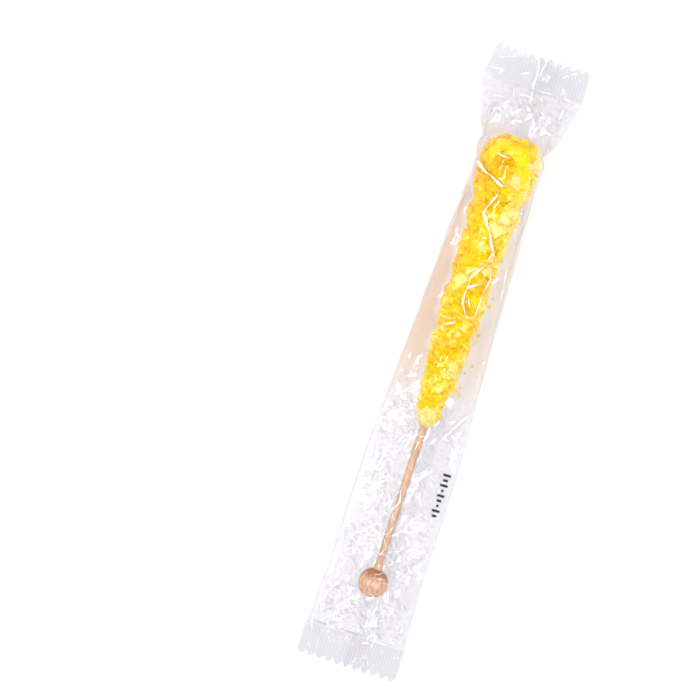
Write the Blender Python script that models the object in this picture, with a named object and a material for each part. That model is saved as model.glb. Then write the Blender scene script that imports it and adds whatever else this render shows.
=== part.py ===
"""A rock candy stick sealed in its clear film sleeve, lying on a surface: the closed outer form of the full pack.

The sleeve is one tube of film with a constant girth, so the pack is narrow where the candy makes it thick and
wide where only the stick fills it. A flat crimped seal with a pinked edge closes each end.

The long axis is Y, with the candy at +Y and the stick's ball at -Y. X is across, +Z is up, and the origin is on the
surface under the middle of the pack. Lengths are in metres.
"""

import math

import bmesh
import bpy
import numpy as np

# The film sleeve
PACK_LENGTH = 0.236
FILM_GIRTH = 0.076
SEAL_LENGTH = 0.012
SEAL_THICKNESS = 0.0006
TEETH = 11
TOOTH_DEPTH = 0.0019
FILM_SLACK = 0.0006  # how far the film stands off what it wraps
FILM_REACH = 0.011  # how far along the pack the film bridges a step in what it wraps

# What the sleeve holds
CANDY_TOP_Y = 0.084
CANDY_FOOT_Y = -0.0245
CANDY_THICK = 0.0222
CANDY_THIN = 0.0105
CANDY_DOME = 0.011  # the length over which the candy rounds off at each end
STICK_DIAMETER = 0.0030
BALL_DIAMETER = 0.0110
BALL_Y = -0.0845

# How the pack lies
HEAD_SEAL_HEIGHT = 0.0075
FOOT_SEAL_HEIGHT = 0.0035
FOOT_PRESS = 0.0009  # how far the round underside is pressed flat by its own weight
PLEATS = 5
PLEAT_DEPTH = 0.0011
PLEAT_LENGTH = 0.020

# How finely the sleeve is drawn
RINGS_PER_SEAL = 2
BODY_RINGS = 40
ARC_STEPS = 720

NODE = "sealed_sleeve"
FILM_COLOUR = (0.90, 0.86, 0.88, 1.0)
FILM_ROUGHNESS = 0.12

HALF_LENGTH = PACK_LENGTH / 2
SHOULDER_Y = HALF_LENGTH - SEAL_LENGTH
CANDY_WIDEST_Y = CANDY_TOP_Y - CANDY_DOME
RING_POINTS = 4 * TEETH  # two steps to a tooth, on the upper and the lower film


def eased(share):
    """0 to 1 with no slope at either end."""
    share = np.clip(share, 0.0, 1.0)
    return share * share * (3 - 2 * share)


def axis_height(y):
    """The stick's own height at y: the ball lies on the surface, and so does the candy's thick end."""
    rise = (CANDY_THICK - BALL_DIAMETER) / 2 / (CANDY_WIDEST_Y - BALL_Y)
    return BALL_DIAMETER / 2 + rise * (y - BALL_Y)


def candy_radius(y):
    """The candy tapers from its head to its foot, and rounds off at both."""
    share = np.clip((y - CANDY_FOOT_Y) / (CANDY_WIDEST_Y - CANDY_FOOT_Y), 0, 1)
    plain = (CANDY_THIN + (CANDY_THICK - CANDY_THIN) * share) / 2
    to_end = np.minimum(CANDY_TOP_Y - y, y - CANDY_FOOT_Y)
    into_dome = np.clip(1 - to_end / CANDY_DOME, 0, 1)
    return np.where(to_end > 0, plain * np.sqrt(1 - into_dome**2), 0.0)


def contents_height(y):
    """The height of the highest thing in the sleeve above the surface, where there is one."""
    candy = candy_radius(y)
    candy_top = np.where(candy > 0, axis_height(y) + candy, 0.0)
    on_stick = (y > BALL_Y) & (y < CANDY_TOP_Y)
    stick_top = np.where(on_stick, axis_height(y) + STICK_DIAMETER / 2, 0.0)
    ball = BALL_DIAMETER / 2
    ball_top = ball + np.sqrt(np.clip(ball**2 - (y - BALL_Y) ** 2, 0, None))
    ball_top = np.where(abs(y - BALL_Y) < ball, ball_top, 0.0)
    return np.maximum.reduce([candy_top, stick_top, ball_top])


def film_heights(stations):
    """The upper film's height over the surface at each station: it bridges steps, and comes down to each seal."""
    reach = np.linspace(-FILM_REACH, FILM_REACH, 41)
    nearby = contents_height(stations[:, None] + reach)
    bridged = (nearby.mean(axis=1) + nearby.max(axis=1)) / 2 + FILM_SLACK
    seal_height = np.where(stations > 0, HEAD_SEAL_HEIGHT, FOOT_SEAL_HEIGHT)
    last_held = np.where(stations > 0, CANDY_WIDEST_Y, -BALL_Y)
    into_shoulder = (abs(stations) - last_held) / (SHOULDER_Y - last_held)
    return bridged + (seal_height - bridged) * eased(into_shoulder)


def film_floors(stations):
    """The lower film's height: on the surface under the contents, and up to the seal's height at each end."""
    seal_height = np.where(stations > 0, HEAD_SEAL_HEIGHT, FOOT_SEAL_HEIGHT)
    last_held = np.where(stations > 0, CANDY_WIDEST_Y, -BALL_Y)
    into_shoulder = (abs(stations) - last_held) / (SHOULDER_Y - last_held)
    return seal_height * eased(into_shoulder)


def half_width_of(thickness):
    """Half the width of an ellipse of this thickness whose girth is the film's, by Ramanujan's formula."""
    b = thickness / 2
    low, high = 0.0, FILM_GIRTH / 2
    for _ in range(40):
        a = (low + high) / 2
        girth = math.pi * (3 * (a + b) - math.sqrt((3 * a + b) * (a + 3 * b)))
        if girth < FILM_GIRTH:
            low = a
        else:
            high = a
    return a


def evenly_round(half_width, half_thickness):
    """Points the same length of film apart round an ellipse, from its +X end over the top."""
    angle = np.linspace(0, 2 * math.pi, ARC_STEPS + 1)
    x = half_width * np.cos(angle)
    z = half_thickness * np.sin(angle)
    along = np.concatenate([[0.0], np.cumsum(np.hypot(np.diff(x), np.diff(z)))])
    wanted = np.linspace(0, along[-1], RING_POINTS + 1)[:-1]
    return np.interp(wanted, along, x), np.interp(wanted, along, z)


def pleat_lift(station, index):
    """How far a pleat lifts or drops the film at this point of the ring, near the shoulders only."""
    from_shoulder = (SHOULDER_Y - abs(station)) / PLEAT_LENGTH
    if not 0 < from_shoulder < 1:
        return 0.0
    across = index / (RING_POINTS / 2)
    swell = math.sin(math.pi * from_shoulder)
    return PLEAT_DEPTH / 2 * swell * math.sin(2 * math.pi * PLEATS * across)


def ring_at(station, low, high):
    """One ring of the sleeve's body: an ellipse of film with its underside pressed flat, and pleats by the seals."""
    half_thickness = (high - low) / 2
    xs, zs = evenly_round(half_width_of(2 * half_thickness), half_thickness)
    press = FOOT_PRESS * half_thickness / (CANDY_THICK / 2)
    ring = []
    for index, (x, z) in enumerate(zip(xs, zs, strict=True)):
        height = low + half_thickness + z - press
        height += pleat_lift(station, index) * abs(z) / half_thickness
        ring.append((x, station, max(height, low)))
    return ring


def seal_ring(end, inward, pinked):
    """One ring of a flat seal, inward from the end's tooth tips. A pinked ring follows the teeth."""
    middle = HEAD_SEAL_HEIGHT if end > 0 else FOOT_SEAL_HEIGHT
    half_thickness = SEAL_THICKNESS / 2
    xs, zs = evenly_round(half_width_of(SEAL_THICKNESS), half_thickness)
    ring = []
    for index, (x, z) in enumerate(zip(xs, zs, strict=True)):
        notch = TOOTH_DEPTH if pinked and index % 2 == 0 else 0.0
        ring.append((x, end * (HALF_LENGTH - inward - notch), middle + z))
    return ring


def seal_rings(end):
    """The rings of one seal, from its pinked edge inward."""
    first = 2 * TOOTH_DEPTH
    rings = [seal_ring(end, 0.0, pinked=True)]
    for step in range(RINGS_PER_SEAL):
        share = step / RINGS_PER_SEAL
        rings.append(seal_ring(end, first + (SEAL_LENGTH - first) * share, pinked=False))
    rings.append(seal_ring(end, SEAL_LENGTH, pinked=False))
    return rings


def body_rings():
    """The rings between the two seals, from the foot to the head."""
    stations = np.linspace(-SHOULDER_Y, SHOULDER_Y, BODY_RINGS + 2)[1:-1]
    lows = film_floors(stations)
    highs = np.maximum(film_heights(stations), lows + SEAL_THICKNESS)
    return [ring_at(*row) for row in zip(stations, lows, highs, strict=True)]


def skin_between(mesh, first, second):
    """Quads from one ring of vertices to the next."""
    for index in range(RING_POINTS):
        following = (index + 1) % RING_POINTS
        mesh.faces.new((first[index], first[following], second[following], second[index]))


def close_end(mesh, ring):
    """Closes a seal's pinked edge with a narrow strip between its upper and its lower film."""
    half = RING_POINTS // 2
    for index in range(half):
        upper, lower = ring[index : index + 2], [ring[-index], ring[-index - 1]]
        corners = [upper[0], upper[1], lower[1], lower[0]]
        mesh.faces.new(dict.fromkeys(corners))


def loft(rings):
    """One closed mesh through all the rings."""
    mesh = bmesh.new()
    drawn = [[mesh.verts.new(point) for point in ring] for ring in rings]
    for first, second in zip(drawn, drawn[1:], strict=False):
        skin_between(mesh, first, second)
    close_end(mesh, drawn[0])
    close_end(mesh, drawn[-1])
    bmesh.ops.recalc_face_normals(mesh, faces=mesh.faces)
    return mesh


def film_material():
    material = bpy.data.materials.new("clear_film")
    material.use_nodes = True
    shader = material.node_tree.nodes["Principled BSDF"]
    shader.inputs["Base Color"].default_value = FILM_COLOUR
    shader.inputs["Roughness"].default_value = FILM_ROUGHNESS
    shader.inputs["Alpha"].default_value = 0.4
    return material


def build_sleeve(collection):
    rings = seal_rings(-1) + body_rings() + seal_rings(1)[::-1]
    mesh = loft(rings)
    data = bpy.data.meshes.new(NODE)
    mesh.to_mesh(data)
    mesh.free()
    data.materials.append(film_material())
    data.shade_smooth()
    data.set_sharp_from_angle(angle=math.radians(40))
    sleeve = bpy.data.objects.new(NODE, data)
    collection.objects.link(sleeve)
    return sleeve


def main():
    for leftover in list(bpy.data.objects):
        bpy.data.objects.remove(leftover)
    collection = bpy.data.collections.new("rock_candy_stick")
    bpy.context.scene.collection.children.link(collection)
    build_sleeve(collection)


main()
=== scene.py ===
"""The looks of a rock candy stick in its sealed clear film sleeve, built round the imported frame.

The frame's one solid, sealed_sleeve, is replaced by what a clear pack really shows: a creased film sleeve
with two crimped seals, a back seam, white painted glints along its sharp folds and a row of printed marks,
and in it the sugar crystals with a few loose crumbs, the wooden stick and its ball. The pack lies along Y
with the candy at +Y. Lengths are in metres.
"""

import math

import bmesh
import bpy
import numpy as np
from mathutils import Matrix, Vector
from mathutils.bvhtree import BVHTree


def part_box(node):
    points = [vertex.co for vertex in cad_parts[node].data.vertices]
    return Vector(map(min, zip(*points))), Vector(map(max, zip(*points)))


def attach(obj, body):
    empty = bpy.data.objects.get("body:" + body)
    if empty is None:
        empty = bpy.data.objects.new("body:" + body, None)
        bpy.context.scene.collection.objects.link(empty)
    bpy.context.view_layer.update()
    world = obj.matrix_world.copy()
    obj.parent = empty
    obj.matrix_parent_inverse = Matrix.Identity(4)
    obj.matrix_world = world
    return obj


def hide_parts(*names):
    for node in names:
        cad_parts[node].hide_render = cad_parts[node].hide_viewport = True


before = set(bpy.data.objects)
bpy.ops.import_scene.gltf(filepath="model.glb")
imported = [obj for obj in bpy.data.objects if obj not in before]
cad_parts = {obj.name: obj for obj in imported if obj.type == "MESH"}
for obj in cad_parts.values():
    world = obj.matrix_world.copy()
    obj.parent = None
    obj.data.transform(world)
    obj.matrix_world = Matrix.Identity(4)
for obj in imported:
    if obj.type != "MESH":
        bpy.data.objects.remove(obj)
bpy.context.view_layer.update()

MM = 0.001
NODE = "sealed_sleeve"
BODY = "root"
SEED = 20

# The pack's size comes from the frame
LOW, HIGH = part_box(NODE)
PACK_LENGTH = HIGH.y - LOW.y
HALF_LENGTH = PACK_LENGTH / 2
FLAT_WIDTH = HIGH.x - LOW.x

# The film sleeve and its seals
GIRTH = 2 * FLAT_WIDTH
SEAL_LENGTH = 12 * MM
TEETH = 11
TOOTH_DEPTH = 1.9 * MM
RIB_PITCH = 1.15 * MM
RIB_HEIGHT = 0.12 * MM
# How much painted shade the seal's ribs get
RIB_SHADE = 0.16
HEAD_SEAL_HEIGHT = 7.0 * MM
FOOT_SEAL_HEIGHT = 3.2 * MM
PLY_GAP = 0.12 * MM
FILM_REACH = 12 * MM  # how far along the pack the film bridges a step in what it wraps
FILM_RISE = 0.5 * MM
SEAM_DROP = 0.12 * MM
SEAM_RIB_HEIGHT = 0.02 * MM

# The film as a grid: columns round the sleeve from its +X edge over the top, rows from the foot to the head
COLUMNS = 12 * TEETH
HALF = COLUMNS // 2
ROWS = 384
SEAL_ROWS = round(SEAL_LENGTH / PACK_LENGTH * ROWS)
SEAM_FIRST = 3 * COLUMNS // 4 - 2
SEAM_COLUMNS = 16
SEAL_FINENESS = 6  # columns of a seal to each column of the film
SEAL_STEPS = 25

# How the film settles
SLACK = 1.014  # the film's flat length over the pack's
BEND = 0.16
WEIGHT = 0.004 * MM
START_RUFFLE = 0.30 * MM
KEPT_SPEED = 0.92
SLANT_STIFFNESS = 0.6
SETTLING_STEPS = 110
SWEEPS = 5
CANDY_CLEARANCE = 0.6 * MM
SURFACE_CLEARANCE = 0.3 * MM
SIDES_APART = 0.4 * MM  # the least gap between the film's upper and lower side

# The creases pressed into the settled film: how deep they are, and how far apart the wide and the fine ones
CREASE_DEPTH = 2.2 * MM
TAUT_CREASE_LOSS = 0.5 * MM  # how much shallower they are where the candy holds the film taut
WIDE_CREASES = (8, 8 * MM, 18 * MM)
FINE_CREASES = (7, 2.5 * MM, 6 * MM)
FINE_CREASE_SHARE = 0.55
FLAT_SHARE = 0.35  # the share of the relief that is cut away, which leaves flat film between the creases
TAUT_RISE, TAUT_FALL = 30 * MM, 10 * MM  # over what length the film gets taut at the candy's foot and head
TAUT_PAST_TOP = 8 * MM
SEAL_EDGE, SEAL_BLEND = 2 * MM, 3 * MM
SEAL_WAVE = 1.8 * MM
WIDE_SEAL_WAVES = (6, 7 * MM, 18 * MM)
FINE_SEAL_WAVES = (6, 3 * MM, 7 * MM)
LOWEST_FILM = 0.15 * MM
SHARP_BEND = 0.08 * MM  # unevenness at which the film is fully marked as creased

# The head seal's left corner is turned up and in: where that starts, over what spans, and how far it goes
CORNER_X, CORNER_Y = -8 * MM, 104 * MM
CORNER_SPAN_X, CORNER_SPAN_Y = 11 * MM, 12 * MM
CORNER_LIFT, CORNER_TUCK = 4.5 * MM, 1.6 * MM

# Where the film beside the candy gets a painted peach tint, standing in for the candy's coloured bounce light
# and shadow: it fades in past the foot, out past the head, and towards +X
BOUNCE_RISE, BOUNCE_FALL = 35 * MM, 20 * MM
BOUNCE_PAST_TOP = 10 * MM
BOUNCE_SIDE_X, BOUNCE_SIDE_SPAN = 8 * MM, 16 * MM

# How clear the film is
CLOUD_SCALE = 260.0
CLOUD_START = 0.38
CLOUD_DEPTH = 0.35
LEAST_MIRROR = 0.045
SLANT_MIRROR = 0.75
FILM_ROUGHNESS = 0.05
SEAL_ROUGHNESS = 0.10

# The candy, the stick and the ball
CANDY_TOP = 86 * MM
CANDY_FOOT = -24.5 * MM
CANDY_WIDEST = 73 * MM
CANDY_FLATNESS = 0.93  # its height over its width
CANDY_LIFT = 0.4 * MM  # how far its underside lies over the surface
STICK_RADIUS = 1.47 * MM
STICK_SIDES = 28
BALL_RADIUS = 5.45 * MM
BALL_Y = -84.5 * MM
BALL_FLAT = 2.1 * MM  # the radius of the flat at each end of the ball
BALL_SIDES = 56
FIBRE_SCALE = 2600.0

# Half the candy's width along its length in millimetres, from its foot: a taper with a waist between clumps
CANDY_OUTLINE = [
    (-24.5, 1.2), (-22, 3.6), (-16, 5.0), (-8, 6.3), (-2, 7.2), (1, 6.6), (6, 8.0),
    (12, 6.4), (18, 7.9), (27, 8.3), (33, 7.4), (41, 9.2), (47, 8.4), (54, 9.8),
    (60, 9.2), (67, 11.0), (74, 11.6), (80, 10.6), (83, 8.8), (86, 3.5),
]  # fmt: skip

# The sharp folds pinched up in the film's upper side, each with a white strip of painted glint along it: the
# strip's width, and its path, in millimetres
FOLDS = [
    (1.1, [(-12, 73), (-7, 69), (0, 66)]),
    (0.9, [(-1, 63), (-3, 58), (-4, 55), (-2, 53), (4, 43)]),
    (0.6, [(4, 43), (3, 38), (-1, 32), (-1, 22), (2, 18), (5, 18)]),
    (0.4, [(4, 43), (6, 33), (5, 26), (5, 18)]),
    (1.1, [(-1, 28), (2, 30), (5, 32)]),
    (0.7, [(1, 24), (2, 21)]),
    (0.6, [(-6, 16), (-1, 15), (-5, 13)]),
    (0.7, [(-6, 77), (-1, 76)]),
    (0.7, [(-1, 117), (0, 112), (0, 105)]),
    (0.4, [(2, 116), (1, 110)]),
    (0.5, [(-16, 112), (-9, 115)]),
    (0.6, [(-16, 108), (-12, 109), (-14, 106)]),
    (0.4, [(-6, 109), (-2, 111)]),
    (0.4, [(10, 109), (13, 106), (11, 104)]),
    (0.3, [(-14, 98), (-8, 99), (-2, 102), (4, 100)]),
    (0.7, [(13, 101), (12, 95)]),
    (0.5, [(0, 104), (1, 98)]),
    (0.4, [(-3, -45), (-1, -49), (0, -53), (-3, -60)]),
    (0.5, [(14, -16), (10, -23), (8, -26), (11, -27)]),
]
FOLD_HEIGHT = 0.45 * MM  # how far the film rises at a fold, over FOLD_REACH to each side
FOLD_REACH = 1.3 * MM
FOLD_STEP = 0.4 * MM
FOLD_WOBBLE = 0.12 * MM
FOLD_TAPER = 2.5 * MM
FOLD_CREST, FOLD_EDGE = 0.16 * MM, 0.06 * MM  # how far a painted glint's middle and edges stand over the film

# The short white strips of painted glint scattered over the loose film, in millimetres: every sixth is at the
# head
SMALL_FOLDS = 60
HEAD_FOLD_YS = (90, 103)
FOOT_FOLD_YS = (-102, -22)
FOLD_LIMITS = np.array([14, 104])

# The printed marks: nine bars in a row, and the share of the row's height that each one spans
MARK_SPANS = [(0, 1), (0.2, 0.8), (0, 1), (0.35, 0.65), (0, 1), (0.2, 0.8), (0.35, 0.65), (0, 1), (0.2, 0.8)]
MARK_HEIGHT = 3.0 * MM
MARK_WIDTH = 0.95 * MM
MARK_PITCH = 1.95 * MM
MARK_MIDDLE = (13.9 * MM, -46.9 * MM)
MARK_STEPS = 6
INK_RISE = 0.04 * MM

# The large crystals at the candy's head: x, y, height over the axis and half sizes in millimetres, the turns
# about Z and X in degrees, and the tint
HEAD_BLOCKS = [
    ((2.2, 79.8, 3.2), (4.8, 4.4, 3.9), 35, 8, -0.28),
    ((-6.6, 77.6, 1.8), (2.2, 5.4, 2.8), -35, -12, 0.12),
    ((6.0, 72.0, 3.9), (3.0, 3.5, 2.6), 12, 18, 0.75),
    ((-2.5, 79.0, -3.0), (5.0, 4.0, 3.6), 10, -20, 0.10),
]

# The small crystals, in size classes: how many, the smallest and the largest, the least share of one that is
# sunk under the candy's outline, and how much paler they are
CRYSTAL_CLASSES = [
    (1900, 1.2 * MM, 2.6 * MM, 0.45, -0.08),
    (720, 2.4 * MM, 4.2 * MM, 0.50, 0.10),
    (170, 3.8 * MM, 6.2 * MM, 0.65, 0.22),
]
CRYSTAL_SHAPES = 24
CRYSTAL_SLOPE = 0.25
CRYSTAL_CUTS = (2, 5)
CUT_REACH = (0.72, 0.86)  # a cut's distance from the middle, as a share of the farthest corner's
LEAST_CORNER = 1.15  # a corner nearer the middle than this isn't cut
LARGEST_OF_RADIUS = 0.7  # a crystal's largest half size over the candy's radius there
CRYSTAL_LEAN = 0.55
CORE_DEPTH = 1.5 * MM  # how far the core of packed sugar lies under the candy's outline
CRYSTAL_TRANSMISSION = 0.15
CRUMBS = 18
CRUMBS_END = 34 * MM

# Painted light and shade on each crystal, standing in for light passing through less sugar in the middle of
# its
# faces and more at its corners: how much paler it is in the middle of its faces, and how much deeper at its
# corners
PAINTED_FACE_LIGHT = 0.14
PAINTED_CORNER_SHADE = 0.42

# The small flaws in the sugar, and the fine ripple of its faces
FLAW_SCALE, FLAW_CONTRAST = 900.0, 0.9
RIPPLE_SCALE, RIPPLE_STRENGTH, RIPPLE_HEIGHT = 1500.0, 0.12, 0.2 * MM

# Colours, as linear light
AMBER = (0.96, 0.550, 0.002)
YELLOW = (0.96, 0.680, 0.003)
PALE_YELLOW = (0.97, 0.82, 0.32)
WOOD = (0.63, 0.44, 0.290)
WOOD_GRAIN = (0.45, 0.285, 0.175)
BALL_WOOD = (0.80, 0.53, 0.370)
BALL_GRAIN = (0.36, 0.14, 0.045)
FILM_TINT = (0.984, 0.977, 0.990)
# The painted peach tint of the film beside the candy, for the candy's coloured bounce light and shadow
CANDY_BOUNCE_TINT = (0.972, 0.878, 0.806)
# The grey of the painted shade along the film's creases
CREASE_SHADE_TINT = (0.84, 0.83, 0.865)
SEAL_TINT = (0.944, 0.936, 0.958)
SEAM_TINT = (0.992, 0.990, 0.996)
# The white of the painted glints along the film's sharp folds
FOLD_GLINT_WHITE = (0.96, 0.96, 0.98)
INK = (0.012, 0.012, 0.014)
FLOOR_WHITE = (0.30, 0.30, 0.30)
FLOOR_GLOW = 0.53
FAR_FLOOR_GLOW = 1.0

# How far from the pack the floor's glow starts to rise, and where it is at its full strength
GLOW_RISE = (0.4, 1.6)

# The studio's brightness from the horizon, at 0, to overhead, at 1
WORLD_LEVELS = [(0.0, 0.50), (0.20, 0.50), (0.60, 0.36), (0.90, 0.12), (1.0, 0.08)]
WORLD_STRENGTH = 1.0
WORLD_TILT = 0.25

# The soft lamps, which light the pack and don't show in its gloss: where each is, how wide and how bright
LAMPS = {
    "left_lamp": ((-0.80, 0.10, 0.9), 0.90, 2.15),
    "right_lamp": ((0.80, -0.05, 0.9), 0.90, 2.15),
    "head_lamp": ((0.10, 0.80, 0.9), 0.90, 2.05),
    "foot_lamp": ((-0.15, -0.80, 0.9), 0.90, 2.05),
    "top_lamp": ((0.0, 0.0, 1.4), 1.00, 1.95),
    "low_left_lamp": ((-0.90, 0.0, 0.22), 0.50, 2.0),
    "low_right_lamp": ((0.90, 0.0, 0.22), 0.50, 2.0),
}

# The narrow lamps, whose reflections are the thin bright glints on the film: place, two sides, brightness
STRIPS = {
    "long_strip": ((-0.05, 0.02, 1.15), (0.012, 1.1), 80.0),
    "left_strip": ((-0.55, 0.05, 1.0), (0.010, 0.7), 70.0),
    "cross_strip": ((0.02, 0.42, 1.1), (0.7, 0.010), 70.0),
}

# The camera: straight above the pack, which leans to the right and lies to the right of the middle. The view
# is VIEW_WIDTH wide at VIEW_HEIGHT over the surface
CAMERA_LEAN = math.radians(17.9)
LENS, SENSOR = 100.0, 36.0
VIEW_WIDTH = 255.5 * MM
VIEW_RIGHT, VIEW_UP = -34.4 * MM, 4.6 * MM
VIEW_HEIGHT = 6 * MM

rng = np.random.default_rng(SEED)


# ---------------------------------------------------------------- where things lie


def eased(share):
    """0 to 1 with no slope at either end."""
    share = np.clip(share, 0.0, 1.0)
    return share * share * (3 - 2 * share)


def axis_height(y):
    """The stick's own height at y: the ball rests on the surface, and so does the candy's thick end."""
    thick_end = CANDY_FLATNESS * candy_radius(CANDY_WIDEST) + CANDY_LIFT
    rise = (thick_end - BALL_RADIUS) / (CANDY_WIDEST - BALL_Y)
    return BALL_RADIUS + rise * (y - BALL_Y)


def candy_radius(y):
    """Half the candy's width at y, and 0 beyond its ends."""
    ys, radii = np.array(CANDY_OUTLINE).T * MM
    return np.where((y > CANDY_FOOT) & (y < CANDY_TOP), np.interp(y, ys, radii), 0.0)


def held_radius(y):
    """Half the width of what the film wraps at y, and the height of its middle."""
    on_stick = (y > BALL_Y) & (y < CANDY_TOP)
    wrapped = np.maximum(candy_radius(y), np.where(on_stick, STICK_RADIUS, 0.0))
    in_ball = BALL_RADIUS**2 - (y - BALL_Y) ** 2
    middle = np.where(in_ball > 0, BALL_RADIUS, axis_height(y))
    return np.maximum(wrapped, np.sqrt(np.clip(in_ball, 0, None))), middle


# ---------------------------------------------------------------- meshes and nodes


def mesh_object(name, points, faces, smooth=True):
    data = bpy.data.meshes.new(name)
    data.from_pydata([tuple(p) for p in points], [], faces)
    data.update()
    if smooth:
        data.shade_smooth()
    piece = bpy.data.objects.new(name, data)
    bpy.context.scene.collection.objects.link(piece)
    return piece


def finish_piece(piece, material):
    """Gives a piece its material and its place in the frame."""
    piece.data.materials.append(material)
    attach(piece, BODY)
    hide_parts(NODE)


def grid_faces(rows, columns, wraps, first=0):
    """Quads over a grid of points counted row by row from first."""
    faces = []
    last = columns if wraps else columns - 1
    for row in range(rows - 1):
        for column in range(last):
            beside = (column + 1) % columns
            here, above = first + row * columns, first + (row + 1) * columns
            faces.append((here + column, here + beside, above + beside, above + column))
    return faces


class Nodes:
    """A short way to lay out a material's node tree."""

    def __init__(self, name):
        self.material = bpy.data.materials.new(name)
        self.material.use_nodes = True
        self.tree = self.material.node_tree
        self.tree.nodes.clear()

    def add(self, kind, **settings):
        node = self.tree.nodes.new("ShaderNode" + kind)
        for key, value in settings.items():
            setattr(node, key, value)
        return node

    def put(self, node, **values):
        for key, value in values.items():
            socket = node.inputs[key.replace("_", " ")]
            if isinstance(value, bpy.types.NodeSocket):
                self.tree.links.new(value, socket)
            elif isinstance(value, tuple) and len(value) == 3 and socket.type == "RGBA":
                socket.default_value = (*value, 1.0)
            else:
                socket.default_value = value
        return node

    def math(self, operation, first, second=0.0):
        node = self.add("Math", operation=operation)
        for socket, value in zip(node.inputs, (first, second), strict=False):
            if isinstance(value, bpy.types.NodeSocket):
                self.tree.links.new(value, socket)
            else:
                socket.default_value = value
        return node.outputs[0]

    def place(self, scale=(1.0, 1.0, 1.0)):
        """Object coordinates times scale."""
        mapping = self.add("Mapping")
        self.put(mapping, Vector=self.add("TexCoord").outputs["Object"], Scale=scale)
        return mapping.outputs[0]

    def noise(self, place, scale, detail=2.0, roughness=0.5):
        node = self.put(self.add("TexNoise"), Vector=place, Scale=scale, Detail=detail, Roughness=roughness)
        return node.outputs["Fac"]

    def ramp(self, factor, *stops):
        node = self.add("ValToRGB")
        elements = node.color_ramp.elements
        while len(elements) < len(stops):
            elements.new(0.5)
        for element, (position, colour) in zip(elements, stops, strict=True):
            element.position = position
            element.color = (*colour, 1.0)
        self.tree.links.new(factor, node.inputs["Fac"])
        return node.outputs["Color"]

    def bump(self, height, strength, distance):
        return self.put(self.add("Bump"), Height=height, Strength=strength, Distance=distance).outputs[0]

    def done(self, shader):
        output = self.add("OutputMaterial")
        self.tree.links.new(shader, output.inputs["Surface"])
        return self.material


# ---------------------------------------------------------------- the film sleeve


def sleeve_half_width(thickness):
    """Half the width of an ellipse of this thickness whose girth is the film's, by Ramanujan's formula."""
    b = thickness / 2
    low, high = np.zeros_like(b), np.full_like(b, GIRTH / 2)
    for _ in range(40):
        a = (low + high) / 2
        girth = math.pi * (3 * (a + b) - np.sqrt((3 * a + b) * (a + 3 * b)))
        low = np.where(girth < GIRTH, a, low)
        high = np.where(girth < GIRTH, high, a)
    return low


def inflated_sleeve():
    """The sleeve before it settles: rings of one girth over the contents, flat at both seals."""
    ys = np.linspace(-HALF_LENGTH, HALF_LENGTH, ROWS + 1)
    reach = np.linspace(-FILM_REACH, FILM_REACH, 41)
    radius, middle = held_radius(ys[:, None] + reach)
    nearby = np.where(radius > 0, middle + CANDY_FLATNESS * radius, 0.0)
    bridged = (nearby.mean(axis=1) + nearby.max(axis=1)) / 2 + FILM_RISE
    seal_height = np.where(ys > 0, HEAD_SEAL_HEIGHT, FOOT_SEAL_HEIGHT)
    last_held = np.where(ys > 0, CANDY_WIDEST, -BALL_Y)
    into_shoulder = eased((abs(ys) - last_held) / (HALF_LENGTH - SEAL_LENGTH - last_held))
    low = seal_height * into_shoulder
    high = bridged + (seal_height - bridged) * into_shoulder
    thickness = np.maximum(high - low, PLY_GAP)
    angle = np.linspace(0, 2 * math.pi, 721)
    sleeve = np.zeros((ROWS + 1, COLUMNS, 3))
    for row, half_width in enumerate(sleeve_half_width(thickness)):
        x, z = half_width * np.cos(angle), thickness[row] / 2 * np.sin(angle)
        along = np.concatenate([[0.0], np.cumsum(np.hypot(np.diff(x), np.diff(z)))])
        even = np.linspace(0, along[-1], COLUMNS + 1)[:-1]
        sleeve[row, :, 0] = np.interp(even, along, x)
        sleeve[row, :, 1] = ys[row]
        sleeve[row, :, 2] = np.interp(even, along, z) + low[row] + thickness[row] / 2
    return sleeve


def draw_together(first, second, length, stiffness):
    """Moves each pair of points towards the length of film between them."""
    gap = second - first
    distance = np.sqrt((gap * gap).sum(axis=-1, keepdims=True)) + 1e-12
    shift = gap * (0.5 * stiffness * (1 - length / distance))
    first += shift
    second -= shift


def keep_lengths(film, across, along):
    """One sweep over the film's threads: along it, round it and on both slants."""
    slant = math.hypot(across, along)
    for first_row in (0, 1):
        lower, upper = film[first_row:-1:2], film[first_row + 1 :: 2]
        pairs = min(len(lower), len(upper))
        lower, upper = lower[:pairs], upper[:pairs]
        draw_together(lower, upper, along, 1.0)
        for turn in (-1, 1):
            turned = np.roll(upper, turn, axis=1)
            draw_together(lower, turned, slant, SLANT_STIFFNESS)
            upper[:] = np.roll(turned, -turn, axis=1)
    draw_together(film[:, 0::2], film[:, 1::2], across, 1.0)
    turned = np.roll(film[:, 0::2], -1, axis=1)
    draw_together(film[:, 1::2], turned, across, 1.0)
    film[:, 0::2] = np.roll(turned, 1, axis=1)


def unevenness(film):
    """How far each point of the film lies from the middle of its neighbours."""
    uneven = np.roll(film, 1, axis=1) + np.roll(film, -1, axis=1) - 2 * film
    uneven[1:-1] += film[2:] + film[:-2] - 2 * film[1:-1]
    return uneven / 4


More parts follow.
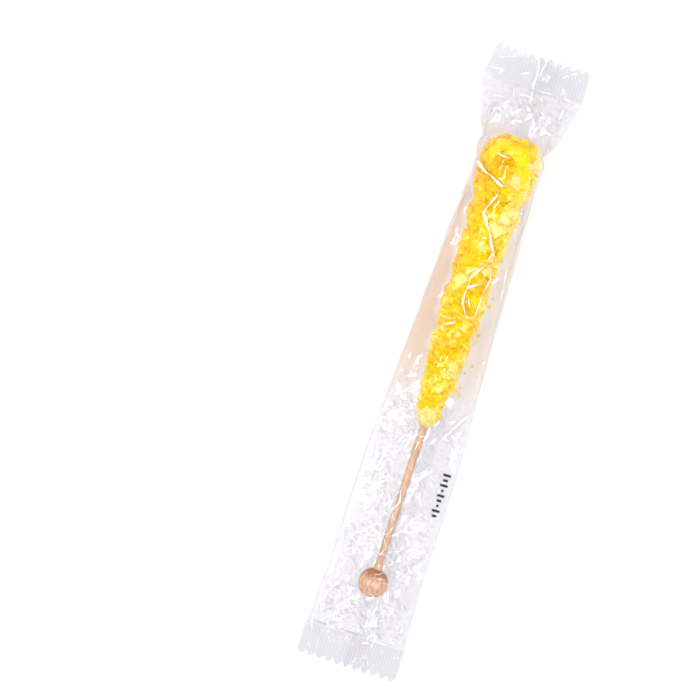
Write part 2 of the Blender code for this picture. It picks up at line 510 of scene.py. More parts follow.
def keep_clear(film):
    """Keeps the film off what it wraps, above the surface, and its upper side over its lower side."""
    x, y, z = film[..., 0], film[..., 1], film[..., 2]
    radius, middle = held_radius(y)
    rise = (z - middle) / CANDY_FLATNESS
    distance = np.sqrt(x * x + rise * rise) + 1e-9
    push = np.maximum((radius + CANDY_CLEARANCE) * (radius > 0) / distance, 1.0)
    film[..., 0] = x * push
    film[..., 2] = np.maximum(middle + rise * push * CANDY_FLATNESS, SURFACE_CLEARANCE)
    upper, lower = film[:, 1:HALF], film[:, :HALF:-1]
    overlap = np.clip(SIDES_APART - (upper[..., 2] - lower[..., 2]), 0, None) / 2
    upper[..., 2] += overlap
    lower[..., 2] -= overlap


def press_seals(film):
    """Holds the upper and the lower film together along both seals."""
    for rows in (slice(0, SEAL_ROWS + 1), slice(ROWS - SEAL_ROWS, ROWS + 1)):
        together = (film[rows, 1:HALF] + film[rows, :HALF:-1]) / 2
        together[..., 2] += PLY_GAP / 2
        film[rows, 1:HALF] = together
        together[..., 2] -= PLY_GAP
        film[rows, :HALF:-1] = together


def settled_film():
    """The sleeve's film once it has settled: it can't stretch, so what is spare buckles into creases."""
    film = inflated_sleeve()
    across, along = GIRTH / COLUMNS, PACK_LENGTH * SLACK / ROWS
    ends = film[[0, -1], :, 1].copy()
    ruffle = rng.normal(0, START_RUFFLE, film.shape)
    for _ in range(3):
        ruffle += 0.8 * unevenness(ruffle)
    film += ruffle
    before = film.copy()
    for _ in range(SETTLING_STEPS):
        speed = KEPT_SPEED * (film - before)
        before = film.copy()
        film = film + speed
        film[..., 2] -= WEIGHT
        for _ in range(SWEEPS):
            keep_lengths(film, across, along)
            film -= BEND * unevenness(unevenness(film))
            keep_clear(film)
            press_seals(film)
            film[[0, -1], :, 1] = ends
    return film


def outward(film):
    """The film's outward direction at each point."""
    round_it = np.roll(film, -1, axis=1) - np.roll(film, 1, axis=1)
    along_it = np.gradient(film, axis=0)
    normal = np.cross(round_it, along_it)
    return -normal / (np.linalg.norm(normal, axis=-1, keepdims=True) + 1e-12)


def crumple(u, v, folds, shortest, longest):
    """A crushed sheet's relief, from 0 to 1: flat facets between sharp creases that run every way, and bend a
    little so that none is a straight line."""
    relief = np.zeros_like(u)
    bent_u = u + 1.5 * MM * np.sin(v / (7 * MM)) + 0.8 * MM * np.sin((u + 2 * v) / (4 * MM))
    bent_v = v + 2.0 * MM * np.sin(u / (6 * MM)) + 0.8 * MM * np.sin((2 * u - v) / (5 * MM))
    for _ in range(folds):
        turn, length = rng.uniform(0, math.pi), rng.uniform(shortest, longest)
        wave = (bent_u * math.cos(turn) + bent_v * math.sin(turn)) / length + rng.uniform(0, 1)
        relief += abs(wave % 1.0 - 0.5) * 2 * length / longest
    return relief / folds


def distance_to_folds(film):
    """How far each point of the film lies from the nearest of the sharp folds, seen from above."""
    nearest = np.full(film.shape[:2], 1.0)
    for _, path in FOLDS:
        corners = np.array(path) * MM
        for start, stop in zip(corners, corners[1:], strict=False):
            run = stop - start
            share = np.clip((film[..., :2] - start) @ run / (run @ run), 0, 1)
            reached = start + share[..., None] * run
            nearest = np.minimum(nearest, np.linalg.norm(film[..., :2] - reached, axis=-1))
    return nearest


def creased_film():
    """The settled film with the small sharp creases of cellophane that has been handled."""
    film = settled_film()
    rows, columns = np.mgrid[0 : ROWS + 1, 0:COLUMNS].astype(float)
    u, v = columns * GIRTH / COLUMNS, rows * PACK_LENGTH * SLACK / ROWS
    y = film[..., 1]
    taut = eased((y - CANDY_FOOT) / TAUT_RISE) * eased((CANDY_TOP + TAUT_PAST_TOP - y) / TAUT_FALL)
    in_seal = eased((abs(y) - HALF_LENGTH + SEAL_LENGTH + SEAL_EDGE) / SEAL_BLEND)
    depth = (CREASE_DEPTH - TAUT_CREASE_LOSS * taut) * (1 - 0.8 * in_seal)
    relief = crumple(u, v, *WIDE_CREASES) * depth
    relief += crumple(u, v, *FINE_CREASES) * depth * FINE_CREASE_SHARE * (1 - 0.8 * taut)
    relief = np.clip(relief - FLAT_SHARE * depth, 0, None)
    side = np.sin(2 * math.pi * columns / COLUMNS)
    lift = np.where(side > 0, relief, -0.5 * relief) * eased(abs(side) * 4)
    film = film + outward(film) * lift[..., None]
    for _ in range(3):
        keep_clear(film)
    press_seals(film)
    across = np.minimum(u, GIRTH - u)
    wave = crumple(across, v, *WIDE_SEAL_WAVES) + 0.4 * crumple(across, v, *FINE_SEAL_WAVES)
    film[..., 2] += in_seal * (wave - 0.5) * SEAL_WAVE
    film[..., 2] = np.maximum(film[..., 2], LOWEST_FILM)
    film[..., 2] += FOLD_HEIGHT * eased(1 - distance_to_folds(film) / FOLD_REACH) * (side > 0)
    corner = eased((CORNER_X - film[..., 0]) / CORNER_SPAN_X)
    corner = corner * eased((film[..., 1] - CORNER_Y) / CORNER_SPAN_Y)
    film[..., 2] += CORNER_LIFT * corner
    film[..., 0] += CORNER_TUCK * corner
    return film


def mark(piece, name, values):
    """Gives each point of a piece a number that its material reads."""
    attribute = piece.data.attributes.new(name, "FLOAT", "POINT")
    attribute.data.foreach_set("value", values.astype(np.float32).ravel())


def mark_film(piece, film):
    """Marks where the film gets painted crease shade, and where it lies beside the candy and gets a painted
    peach tint for the candy's coloured bounce light and shadow.
    """
    bend = np.linalg.norm(unevenness(film), axis=-1)
    x, y = film[..., 0], film[..., 1]
    beside_candy = eased((y - CANDY_FOOT) / BOUNCE_RISE) * eased((CANDY_TOP + BOUNCE_PAST_TOP - y) / BOUNCE_FALL)
    from_edge = abs(np.sin(2 * math.pi * np.arange(COLUMNS) / COLUMNS))
    mark(piece, "crease_shade", eased(bend / SHARP_BEND) * (0.25 + 0.75 * eased(2 * from_edge)))
    past_candy = eased((abs(x) - candy_radius(y) + 1 * MM) / (3 * MM))
    sideways = 0.5 + 0.5 * eased((BOUNCE_SIDE_X - x) / BOUNCE_SIDE_SPAN)
    mark(piece, "candy_bounce", beside_candy * past_candy * sideways)


def film_material(name, tint, roughness):
    """Thin clear film: it lets most light straight through, and mirrors its surroundings, most of all at a
    slant. Painted shade greys it along its creases, a painted peach tint beside the candy stands in for the
    candy's coloured bounce light and shadow, and it is faintly cloudy."""
    n = Nodes(name)
    crease_shade = n.add("Attribute", attribute_name="crease_shade").outputs["Fac"]
    candy_bounce = n.add("Attribute", attribute_name="candy_bounce").outputs["Fac"]
    fog = n.noise(n.place(), CLOUD_SCALE, 4.0, 0.65)
    cloud = n.math("MULTIPLY", n.math("SUBTRACT", fog, CLOUD_START), CLOUD_DEPTH)
    # Painted peach tint beside the candy, standing in for its coloured bounce light and shadow
    plain = n.ramp(candy_bounce, (0.0, tint), (1.0, CANDY_BOUNCE_TINT))
    # Painted shade greys the tint along the creases; the cloud greys it too, as the film's own haze
    shaded_tint = n.add("Mix", data_type="RGBA")
    n.tree.links.new(n.math("MAXIMUM", crease_shade, cloud), shaded_tint.inputs[0])
    n.tree.links.new(plain, shaded_tint.inputs[6])
    shaded_tint.inputs[7].default_value = (*CREASE_SHADE_TINT, 1.0)
    clear = n.put(n.add("BsdfTransparent"), Color=shaded_tint.outputs[2])
    gloss = n.put(n.add("BsdfGlossy"), Color=(1.0, 1.0, 1.0), Roughness=roughness)
    slant = n.put(n.add("LayerWeight"), Blend=0.5).outputs["Facing"]
    mirror = n.math("ADD", n.math("MULTIPLY", n.math("POWER", slant, 4.0), SLANT_MIRROR), LEAST_MIRROR)
    mix = n.add("MixShader")
    n.tree.links.new(mirror, mix.inputs[0])
    n.tree.links.new(clear.outputs[0], mix.inputs[1])
    n.tree.links.new(gloss.outputs[0], mix.inputs[2])
    return n.done(mix.outputs[0])


def build_sleeve(film):
    """The tube of film between the two seals."""
    tube = film[SEAL_ROWS : ROWS - SEAL_ROWS + 1]
    piece = mesh_object("film_sleeve", tube.reshape(-1, 3), grid_faces(len(tube), COLUMNS, wraps=True))
    mark_film(piece, tube)
    finish_piece(piece, film_material("clear_film", FILM_TINT, FILM_ROUGHNESS))
    return piece


def build_seal(name, film, end):
    """One crimped seal: two plies with ribs pressed into them along the pack, and a pinked edge."""
    rows = film[-SEAL_ROWS - 1 :] if end > 0 else film[SEAL_ROWS::-1]
    ply = (rows[:, : HALF + 1] + np.concatenate([rows[:, :1], rows[:, : HALF - 1 : -1]], axis=1)) / 2
    columns = np.arange(0, HALF + 1e-9, 1 / SEAL_FINENESS)
    lengths = np.linspace(0, 1, SEAL_STEPS)
    sheet = np.zeros((len(lengths), len(columns), 3))
    for axis in range(3):
        across = np.array([np.interp(columns, np.arange(HALF + 1), row) for row in ply[..., axis]])
        share = np.linspace(0, 1, len(ply))
        sheet[..., axis] = np.array([np.interp(lengths, share, line) for line in across.T]).T
    tooth = columns / HALF * TEETH % 1.0
    notch = abs(tooth * 2 - 1) * TOOTH_DEPTH
    sheet[..., 1] -= end * notch * eased(lengths * 3 - 2)[:, None]
    x = columns * FLAT_WIDTH / HALF
    ribs = np.cos(2 * math.pi * x / RIB_PITCH) * eased(lengths * 8)[:, None]
    points, faces = [], []
    for lift in (PLY_GAP / 2, -PLY_GAP / 2):
        layer = sheet.copy()
        layer[..., 2] += RIB_HEIGHT * ribs + lift
        faces += grid_faces(*layer.shape[:2], wraps=False, first=len(points))
        points += list(layer.reshape(-1, 3))
    piece = mesh_object(name, points, faces)
    # Painted shade along the seal's ribs, greyest on their crests
    mark(piece, "crease_shade", np.tile(RIB_SHADE * (1 + ribs), (2, 1)))
    finish_piece(piece, film_material(name + "_film", SEAL_TINT, SEAL_ROUGHNESS))


def build_back_seam(film):
    """The seam along the pack's back: a fin folded flat between the sleeve and the surface."""
    fin = film[:, SEAM_FIRST : SEAM_FIRST + SEAM_COLUMNS].copy()
    fin[..., 2] = np.maximum(fin[..., 2] - SEAM_DROP, 0.05 * MM)
    fin[..., 2] += SEAM_RIB_HEIGHT * np.cos(np.arange(SEAM_COLUMNS) * math.pi)
    piece = mesh_object("back_seam", fin.reshape(-1, 3), grid_faces(*fin.shape[:2], wraps=False))
    finish_piece(piece, film_material("seam_film", SEAM_TINT, SEAL_ROUGHNESS))


# ---------------------------------------------------------------- the rock candy


def block_shape():
    """One sugar crystal's points and faces: a slanted block with some of its edges and corners cut off flat.
    Each face has a point in its middle, whose depth is 0, and its corners have depth 1; the depth sets the
    painted shade at the corners."""
    mesh = bmesh.new()
    bmesh.ops.create_cube(mesh, size=2.0)
    slope = rng.uniform(-CRYSTAL_SLOPE, CRYSTAL_SLOPE)
    for vertex in mesh.verts:
        vertex.co.x += slope * vertex.co.z
    for _ in range(rng.integers(*CRYSTAL_CUTS)):
        normal = Vector(rng.choice([-1, 0, 1], 3) + rng.uniform(-0.2, 0.2, 3)).normalized()
        farthest = max(vertex.co.dot(normal) for vertex in mesh.verts)
        if farthest < LEAST_CORNER:
            continue
        everything = mesh.verts[:] + mesh.edges[:] + mesh.faces[:]
        where = normal * farthest * rng.uniform(*CUT_REACH)
        cut = bmesh.ops.bisect_plane(
            mesh, geom=everything, plane_co=where, plane_no=normal, clear_outer=True
        )
        rim = [edge for edge in cut["geom_cut"] if isinstance(edge, bmesh.types.BMEdge)]
        bmesh.ops.contextual_create(mesh, geom=rim)
    corners = len(mesh.verts)
    bmesh.ops.poke(mesh, faces=mesh.faces)
    mesh.verts.index_update()
    points = np.array([vertex.co for vertex in mesh.verts])
    faces = [tuple(v.index for v in face.verts) for face in mesh.faces]
    mesh.free()
    return points, faces, (np.arange(len(points)) < corners).astype(float)


def turned(axis_a, axis_b, spin):
    """A rotation whose Z axis is axis_a, spun about it."""
    z = axis_a / np.linalg.norm(axis_a)
    x = np.cross(axis_b, z)
    x /= np.linalg.norm(x)
    y = np.cross(z, x)
    first = x * math.cos(spin) + y * math.sin(spin)
    return np.stack([first, np.cross(z, first), z], axis=1)


class CrystalHeap:
    """Many crystals joined into one mesh, each with its own tint from 0, deep, to 1, pale."""

    def __init__(self, shapes):
        self.shapes = shapes
        self.points, self.faces, self.tints = [], [], []
        self.count = 0

    def add(self, centre, turn, half_sizes, tint):
        points, faces, depth = self.shapes[rng.integers(len(self.shapes))]
        placed = (points * half_sizes) @ turn.T + centre
        self.points.append(placed)
        self.faces += [tuple(self.count + k for k in face) for face in faces]
        # Painted light and shade: paler in the middle of each face, deeper at the corners
        self.tints.append(tint + PAINTED_FACE_LIGHT - depth * PAINTED_CORNER_SHADE)
        self.count += len(points)

    def build(self, name):
        piece = mesh_object(name, np.concatenate(self.points), self.faces, smooth=False)
        mark(piece, "tint", np.concatenate(self.tints))
        return piece


def lumpiness(y, angle):
    """How far the candy's surface lies under its outline, in millimetres: clumps with hollows between them."""
    clump = math.sin(y / (4.1 * MM) + 2.3 * math.sin(angle + 0.6)) * math.sin(y / (2.9 * MM) - 3 * angle)
    return (0.75 * (1 - clump)) * MM


def paleness(y, angle):
    """Where the candy is paler: in patches, more on its upper right and at its very foot."""
    patch = math.sin(y / (8 * MM) + 1.7 * math.sin(angle)) * math.sin(y / (4.6 * MM) + 2 * angle)
    right = math.cos(angle + 0.25) * eased((y - 15 * MM) / (20 * MM))
    foot = 0.5 * eased((CANDY_FOOT + 8 * MM - y) / (8 * MM))
    return 0.33 + 0.46 * patch + 0.50 * right + foot


def spread_over_candy(count):
    """Places over the candy's surface, evenly by area, as pairs of y and angle."""
    ys = np.linspace(CANDY_FOOT + 0.2 * MM, CANDY_TOP - 0.2 * MM, 400)
    radius = candy_radius(ys)
    strip = radius * np.hypot(np.gradient(ys), np.gradient(radius))
    share = np.cumsum(strip) / strip.sum()
    return np.interp(rng.uniform(0, 1, count), share, ys), rng.uniform(0, 2 * math.pi, count)


def outward_of_candy(y, angle):
    slope = float(candy_radius(y + 0.5 * MM) - candy_radius(y - 0.5 * MM)) / MM
    direction = np.array([math.cos(angle), -slope, math.sin(angle)])
    return direction / np.linalg.norm(direction)


def head_blocks():
    """Each large crystal at the candy's head: its middle, its turn, its half sizes and its tint."""
    placed = []
    for (x, y, lift), half_sizes, about_z, about_x, tint in HEAD_BLOCKS:
        turn = Matrix.Rotation(math.radians(about_z), 3, "Z")
        turn = turn @ Matrix.Rotation(math.radians(about_x), 3, "X")
        centre = np.array([x * MM, y * MM, axis_height(y * MM) + lift * MM])
        placed.append((centre, np.array(turn), np.array(half_sizes) * MM, tint))
    return placed


def under_or_on_block(centre, blocks):
    """Whether a small crystal would lie in a large one, or hide its upper face."""
    for middle, turn, half_sizes, _ in blocks:
        x, y, z = (turn.T @ (centre - middle)) / half_sizes
        if abs(x) < 1.0 and abs(y) < 1.0 and -0.6 < z < 2.5:
            return True
    return False


def add_crystals(heap, blocks, count, smallest, largest, sunk, paler):
    """Crystals of one size class. At sunk 1, no tip passes the candy's outline."""
    for y, angle in zip(*spread_over_candy(count), strict=True):
        size = min(rng.uniform(smallest, largest) / 2, LARGEST_OF_RADIUS * float(candy_radius(y)))
        half_sizes = size * np.array([rng.uniform(0.6, 0.9), rng.uniform(0.7, 1.0), rng.uniform(0.9, 1.35)])
        away = outward_of_candy(y, angle)
        lean = away + rng.normal(0, CRYSTAL_LEAN, 3)
        turn = turned(lean, rng.normal(0, 1, 3), rng.uniform(0, 2 * math.pi))
        reach = np.abs(turn.T @ away) @ half_sizes
        out = float(candy_radius(y)) - lumpiness(y, angle) - reach * rng.uniform(sunk, 1.0)
        height = axis_height(y) + math.sin(angle) * out * CANDY_FLATNESS
        lowest = np.abs(turn[2]) @ half_sizes + CANDY_LIFT
        inside = min(max(y, CANDY_FOOT + reach), CANDY_TOP - reach)
        centre = np.array([math.cos(angle) * out, inside, max(height, lowest)])
        tint = np.clip(paleness(y, angle) + paler + rng.normal(0, 0.12), 0, 1)
        if not under_or_on_block(centre, blocks):
            heap.add(centre, turn, half_sizes, tint)


def candy_material(name, transmission):
    """Sugar crystal: clear yellow, with painted shade deepening it at its edges, and small flaws."""
    n = Nodes(name)
    tint = n.add("Attribute", attribute_name="tint").outputs["Fac"]
    flaws = n.noise(n.place(), FLAW_SCALE, 3.0)
    shade = n.math("ADD", tint, n.math("MULTIPLY", n.math("SUBTRACT", flaws, 0.5), FLAW_CONTRAST))
    colour = n.ramp(shade, (0.0, AMBER), (0.30, YELLOW), (0.95, PALE_YELLOW))
    ripple = n.bump(n.noise(n.place(), RIPPLE_SCALE, 2.0), RIPPLE_STRENGTH, RIPPLE_HEIGHT)
    shader = n.put(n.add("BsdfPrincipled"), Base_Color=colour, Normal=ripple)
    n.put(shader, Roughness=0.14, IOR=1.5, Specular_IOR_Level=0.30, Transmission_Weight=transmission)
    n.put(shader, Subsurface_Weight=0.15, Subsurface_Radius=(1.0, 0.7, 0.15), Subsurface_Scale=1.5 * MM)
    return n.done(shader.outputs[0])


def build_core():
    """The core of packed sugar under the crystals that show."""
    ys = np.linspace(CANDY_FOOT + 0.8 * MM, CANDY_TOP - 2.5 * MM, 120)
    angles = np.linspace(0, 2 * math.pi, 40, endpoint=False)
    grid = np.zeros((len(ys), len(angles), 3))
    for row, y in enumerate(ys):
        radius = max(float(candy_radius(y)) - CORE_DEPTH, 0.6 * MM)
        lump = 1 + 0.07 * np.sin(3 * angles + y / (3 * MM)) * np.sin(y / (2.3 * MM) + 2 * np.cos(angles))
        grid[row, :, 0] = radius * lump * np.cos(angles)
        grid[row, :, 1] = y
        grid[row, :, 2] = axis_height(y) + radius * lump * np.sin(angles) * CANDY_FLATNESS
    faces = grid_faces(*grid.shape[:2], wraps=True)
    count = len(angles)
    faces.append(tuple(range(count))[::-1])
    faces.append(tuple(range(grid.shape[0] * count - count, grid.shape[0] * count)))
    piece = mesh_object("candy_core", grid.reshape(-1, 3), faces)
    mark(piece, "tint", np.full(len(piece.data.vertices), 0.25))
    finish_piece(piece, candy_material("packed_sugar", 0.0))


def build_candy(shapes):
    heap = CrystalHeap(shapes)
    blocks = head_blocks()
    for size_class in CRYSTAL_CLASSES:
        add_crystals(heap, blocks, *size_class)
    piece = heap.build("sugar_crystals")
    finish_piece(piece, candy_material("sugar_crystal", CRYSTAL_TRANSMISSION))


def build_crumbs(shapes, film):
    """Crystals that have broken off and lie on the film beside the candy."""
    heap = CrystalHeap(shapes)
    underside = film[:, HALF + 1 :]
    for _ in range(CRUMBS):
        size = rng.uniform(0.22, 0.50) * MM
        y = rng.uniform(CANDY_FOOT + 2 * MM, CRUMBS_END)
        x = float(candy_radius(y)) + rng.uniform(-0.2, 1.9) ** 2 * MM
        gaps = np.hypot(underside[..., 0] - x, underside[..., 1] - y)
        under = underside.reshape(-1, 3)[gaps.argmin()]
        turn = turned(rng.normal(0, 1, 3), rng.normal(0, 1, 3), rng.uniform(0, 2 * math.pi))
        half_sizes = size * np.array([rng.uniform(0.6, 1.0), rng.uniform(0.8, 1.2), rng.uniform(1.0, 1.7)])
        heap.add(np.array([x, y, under[2] + size]), turn, half_sizes, rng.uniform(0.1, 0.7))
    piece = heap.build("loose_crumbs")
    finish_piece(piece, candy_material("crumb_sugar", CRYSTAL_TRANSMISSION))


def build_head_blocks(shapes):
    """The few large crystals at the candy's head."""
    heap = CrystalHeap(shapes)
    for block in head_blocks():
        heap.add(*block)
    piece = heap.build("head_crystals")
    finish_piece(piece, candy_material("large_crystal", CRYSTAL_TRANSMISSION))


# ---------------------------------------------------------------- the stick and its ball


def revolve(name, profile, sides, middle):
    """A turned piece about a line along Y. The profile is (y, radius) from one end to the other, and middle
    gives the height of the line at y."""
    angles = np.linspace(0, 2 * math.pi, sides, endpoint=False)
    points = [
        (radius * math.cos(angle), y, float(middle(y)) + radius * math.sin(angle))
        for y, radius in profile
        for angle in angles
    ]
    faces = grid_faces(len(profile), sides, wraps=True)
    faces.append(tuple(range(sides))[::-1])
    faces.append(tuple(range(len(points) - sides, len(points))))
    piece = mesh_object(name, points, faces)
    piece.data.set_sharp_from_angle(angle=math.radians(50))
    return piece


def wood_material(name, light, grain, along, rings, end_grain):
    """Bare wood: fibres run along Y, and end grain is darker where the surface faces the candy."""
    n = Nodes(name)
    fibres = n.noise(n.place((1.0, along, 1.0)), FIBRE_SCALE, 4.0, 0.6)
    bands = n.noise(n.place((1.0, along * 1.6, 1.0)), rings, 2.0)
    streak = n.math("ADD", n.math("MULTIPLY", fibres, 0.55), n.math("MULTIPLY", bands, 0.45))
    normal = n.add("NewGeometry").outputs["Normal"]
    split = n.add("SeparateXYZ")
    n.tree.links.new(normal, split.inputs[0])
    end_on = n.math("POWER", n.math("MAXIMUM", split.outputs["Y"], 0.0), 1.5)
    shade = n.math("ADD", streak, n.math("MULTIPLY", end_on, end_grain))
    between = tuple((a + b) / 2 for a, b in zip(light, grain, strict=True))
    colour = n.ramp(shade, (0.38, light), (0.55, between), (0.74, grain))
    relief = n.bump(fibres, 0.35, 0.15 * MM)
    shader = n.put(n.add("BsdfPrincipled"), Base_Color=colour, Normal=relief, Roughness=0.62, IOR=1.45)
    return n.done(shader.outputs[0])


def build_stick():
    ys = np.linspace(BALL_Y - 2 * MM, CANDY_TOP - 12 * MM, 90)
    wobble = 0.04 * MM * np.sin(ys / (6 * MM)) + 0.03 * MM * np.sin(ys / (2.7 * MM))
    profile = [(y, STICK_RADIUS + w) for y, w in zip(ys, wobble, strict=True)]
    piece = revolve("wooden_stick", profile, STICK_SIDES, axis_height)
    finish_piece(piece, wood_material("stick_wood", WOOD, WOOD_GRAIN, 0.03, 900.0, 0.2))


def build_ball():
    """A turned bead with a small flat at each end, and a hole for the stick in the flat towards the candy."""
    reach = math.sqrt(BALL_RADIUS**2 - BALL_FLAT**2)
    profile = [(-reach, 0.25 * MM), (-reach, BALL_FLAT * 0.9)]
    widest = math.asin(reach / BALL_RADIUS)
    for turn in np.linspace(-widest, widest, 40):
        profile.append((BALL_RADIUS * math.sin(turn), BALL_RADIUS * math.cos(turn)))
    profile.append((reach, BALL_FLAT * 0.9))
    profile += [(reach - 0.3 * MM, STICK_RADIUS + 0.15 * MM), (reach - 2 * MM, STICK_RADIUS)]
    profile = [(BALL_Y + y, radius) for y, radius in profile]
    piece = revolve("wooden_ball", profile, BALL_SIDES, lambda _: BALL_RADIUS)
    finish_piece(piece, wood_material("ball_wood", BALL_WOOD, BALL_GRAIN, 0.10, 700.0, 0.42))


# ---------------------------------------------------------------- folds and printed marks


def small_folds():
    """Short white strips of painted glint, each a small ridge, all over the loose film of the lower half and
    the head, as widths and paths in millimetres."""
    folds = []
    for index in range(SMALL_FOLDS):
        y = rng.uniform(*(HEAD_FOLD_YS if index % 6 == 0 else FOOT_FOLD_YS))
        start = np.array([rng.uniform(-FOLD_LIMITS[0], FOLD_LIMITS[0]), y])
        turn, bend = rng.uniform(0, 2 * math.pi), rng.uniform(-1.2, 1.2)
        length = rng.uniform(1.5, 4.5)
        middle = start + length * np.array([math.cos(turn), math.sin(turn)])
        stop = middle + length * np.array([math.cos(turn + bend), math.sin(turn + bend)])
        folds.append((rng.uniform(0.12, 0.40), np.clip([start, middle, stop], -FOLD_LIMITS, FOLD_LIMITS)))
    return folds


def height_from_above(surface, x, y):
    """The surface's height at x and y, where a ray straight down first meets it."""
    return surface.ray_cast(Vector((x, y, 0.1)), Vector((0, 0, -1)))[0].z


def build_folds(film):
    """White strips of painted glint along the pinched folds: narrow ridges on the film, in a plain white that
    stands in for the folds catching the light.
    """
    sheet = [Vector(point) for point in film.reshape(-1, 3)]
    surface = BVHTree.FromPolygons(sheet, grid_faces(ROWS + 1, COLUMNS, wraps=True))
    points, faces = [], []
    for width, path in FOLDS + small_folds():
        corners = np.array(path, float) * MM
        lengths = np.linalg.norm(np.diff(corners, axis=0), axis=1)
        reached = np.concatenate([[0.0], np.cumsum(lengths)])
        steps = np.linspace(0, reached[-1], max(6, round(reached[-1] / FOLD_STEP)))
        line = np.stack([np.interp(steps, reached, corners[:, axis]) for axis in (0, 1)], axis=1)
        line[1:-1] = (line[:-2] + 2 * line[1:-1] + line[2:]) / 4
        line += FOLD_WOBBLE * np.sin(steps / (1.3 * MM) + rng.uniform(0, 6))[:, None]
        run = np.gradient(line, axis=0)
        aside = np.stack([-run[:, 1], run[:, 0]], axis=1) / np.linalg.norm(run, axis=1, keepdims=True)
        to_end = np.minimum(steps, reached[-1] - steps)
        swell = 0.2 + 0.8 * np.sin(steps / (3.4 * MM) + rng.uniform(0.8, 2.2)) ** 2
        half_width = width * MM / 2 * swell * np.clip(to_end / FOLD_TAPER + 0.15, 0, 1)
        faces += grid_faces(len(line), 3, wraps=False, first=len(points))
        for place, normal, half in zip(line, aside, half_width, strict=True):
            for side, lift in ((-1, FOLD_EDGE), (0, FOLD_CREST), (1, FOLD_EDGE)):
                x, y = place + normal * half * side
                points.append((x, y, height_from_above(surface, x, y) + lift))
    piece = mesh_object("painted_fold_glints", points, faces)
    # The strips are painted glints: a plain white, broken up by noise, that stands in for the folds catching
    # the light
    n = Nodes("painted_fold_glint")
    cover = n.noise(n.place(), 420.0, 2.0)
    alpha = n.math("ADD", n.math("MULTIPLY", cover, 1.6), -0.05)
    shader = n.put(n.add("BsdfPrincipled"), Base_Color=FOLD_GLINT_WHITE, Roughness=0.2, Alpha=alpha)
    finish_piece(piece, n.done(shader.outputs[0]))


def build_marks(sleeve):
    """Small plain bars in a row along the film, where a packer prints a batch code."""
    surface = BVHTree.FromObject(sleeve, bpy.context.evaluated_depsgraph_get())
    steps = np.linspace(0, 1, MARK_STEPS)
    middle_x, middle_y = MARK_MIDDLE
    points, faces = [], []
    for index, (start, stop) in enumerate(MARK_SPANS):
        bar_y = middle_y + (len(MARK_SPANS) // 2 - index) * MARK_PITCH
        faces += grid_faces(MARK_STEPS, MARK_STEPS, wraps=False, first=len(points))
        for along in steps:
            x = middle_x + (start + (stop - start) * along - 0.5) * MARK_HEIGHT
            for y in bar_y + (steps - 0.5) * MARK_WIDTH:
                points.append((x, y, height_from_above(surface, x, y) + INK_RISE))
    piece = mesh_object("printed_marks", points, faces)
    n = Nodes("printing_ink")
    wear = n.ramp(n.noise(n.place(), 1800.0, 2.0), (0.3, INK), (0.8, tuple(3 * c for c in INK)))
    shader = n.put(n.add("BsdfPrincipled"), Base_Color=wear, Roughness=0.5)
    finish_piece(piece, n.done(shader.outputs[0]))


# ---------------------------------------------------------------- floor, light and camera


def build_floor():
    """A white sheet that glows, as one lit from below does, so that shadows on it stay faint."""
    floor = mesh_object("floor", [(-4, -4, 0), (4, -4, 0), (4, 4, 0), (-4, 4, 0)], [(0, 1, 2, 3)])
    n = Nodes("white_floor")
    away = n.add("VectorMath", operation="LENGTH")
    n.tree.links.new(n.place(), away.inputs[0])
    near, far = GLOW_RISE
    glow = n.put(n.add("MapRange"), Value=away.outputs["Value"], From_Min=near, From_Max=far)
    n.put(glow, To_Min=FLOOR_GLOW, To_Max=FAR_FLOOR_GLOW)
    shader = n.put(n.add("BsdfPrincipled"), Base_Color=FLOOR_WHITE, Roughness=0.9)
    n.put(shader, Emission_Color=(1.0, 1.0, 1.0), Emission_Strength=glow.outputs[0])
    floor.data.materials.append(n.done(shader.outputs[0]))


def add_softbox(name, place, size, radiance):
    """A flat lamp that faces the pack."""
    lamp = bpy.data.lights.new(name, "AREA")
    lamp.shape = "RECTANGLE"
    lamp.size, lamp.size_y = size
    lamp.energy = radiance * math.pi * size[0] * size[1]
    holder = bpy.data.objects.new(name, lamp)
    facing = (-Vector(place)).normalized()
    across = facing.cross(Vector((0, 1, 0))).normalized()
    along = across.cross(facing)
    turn = Matrix((across, along, -facing)).transposed().to_4x4()
    holder.matrix_world = Matrix.Translation(place) @ turn
    bpy.context.scene.collection.objects.link(holder)
    return holder


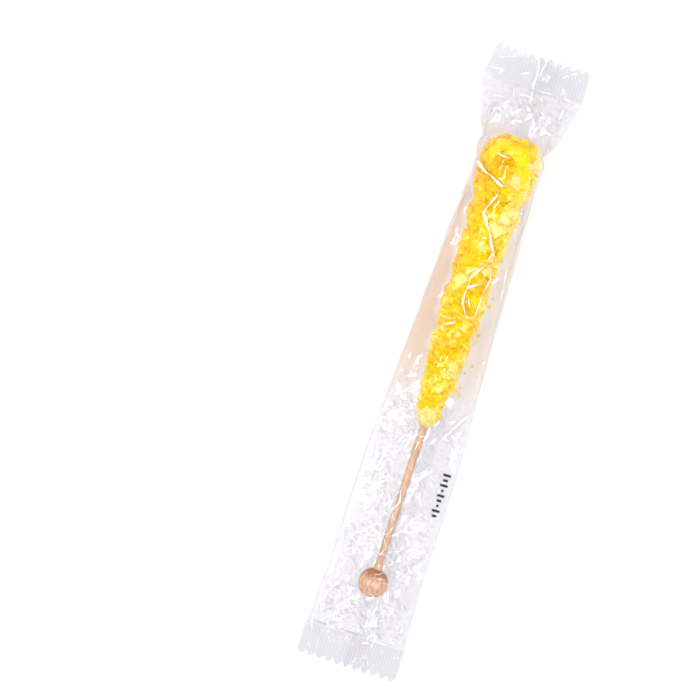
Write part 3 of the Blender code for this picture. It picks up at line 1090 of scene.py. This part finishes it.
def studio_world():
    """White light from all round: brightest at the horizon and towards -X, dim overhead."""
    world = bpy.data.worlds.new("studio")
    world.use_nodes = True
    tree = world.node_tree
    direction = tree.nodes.new("ShaderNodeSeparateXYZ")
    tree.links.new(tree.nodes.new("ShaderNodeTexCoord").outputs["Generated"], direction.inputs[0])
    height = tree.nodes.new("ShaderNodeValToRGB")
    stops = height.color_ramp.elements
    while len(stops) < len(WORLD_LEVELS):
        stops.new(0.5)
    for stop, (position, level) in zip(stops, WORLD_LEVELS, strict=True):
        stop.position = position
        stop.color = (level, level, level, 1.0)
    tree.links.new(direction.outputs["Z"], height.inputs["Fac"])
    sideways = tree.nodes.new("ShaderNodeMapRange")
    sideways.inputs["From Min"].default_value = -1.0
    sideways.inputs["To Min"].default_value = WORLD_STRENGTH * (1 + WORLD_TILT)
    sideways.inputs["To Max"].default_value = WORLD_STRENGTH * (1 - WORLD_TILT)
    tree.links.new(direction.outputs["X"], sideways.inputs["Value"])
    background = tree.nodes["Background"]
    tree.links.new(height.outputs["Color"], background.inputs["Color"])
    tree.links.new(sideways.outputs[0], background.inputs["Strength"])
    bpy.context.scene.world = world


def build_light():
    studio_world()
    for name, (place, width, radiance) in LAMPS.items():
        add_softbox(name, place, (width, width), radiance).visible_glossy = False
    for name, (place, size, radiance) in STRIPS.items():
        add_softbox(name, place, size, radiance)


def build_camera():
    """Straight down, rolled so that the pack leans to the right."""
    right = Vector((math.cos(CAMERA_LEAN), math.sin(CAMERA_LEAN), 0))
    up = Vector((-math.sin(CAMERA_LEAN), math.cos(CAMERA_LEAN), 0))
    place = right * VIEW_RIGHT + up * VIEW_UP
    place.z = VIEW_WIDTH * LENS / SENSOR + VIEW_HEIGHT
    camera = bpy.data.objects.new("camera", bpy.data.cameras.new("camera"))
    camera.data.lens, camera.data.sensor_width = LENS, SENSOR
    camera.matrix_world = Matrix.Translation(place) @ Matrix.Rotation(CAMERA_LEAN, 4, "Z")
    bpy.context.scene.collection.objects.link(camera)
    bpy.context.scene.camera = camera


def main():
    bpy.context.scene.view_settings.view_transform = "Standard"
    build_camera()
    build_light()
    build_floor()
    film = creased_film()
    sleeve = build_sleeve(film)
    build_seal("head_seal", film, 1)
    build_seal("foot_seal", film, -1)
    build_back_seam(film)
    shapes = [block_shape() for _ in range(CRYSTAL_SHAPES)]
    build_core()
    build_candy(shapes)
    build_head_blocks(shapes)
    build_crumbs(shapes, film)
    build_stick()
    build_ball()
    build_folds(film)
    build_marks(sleeve)


main()
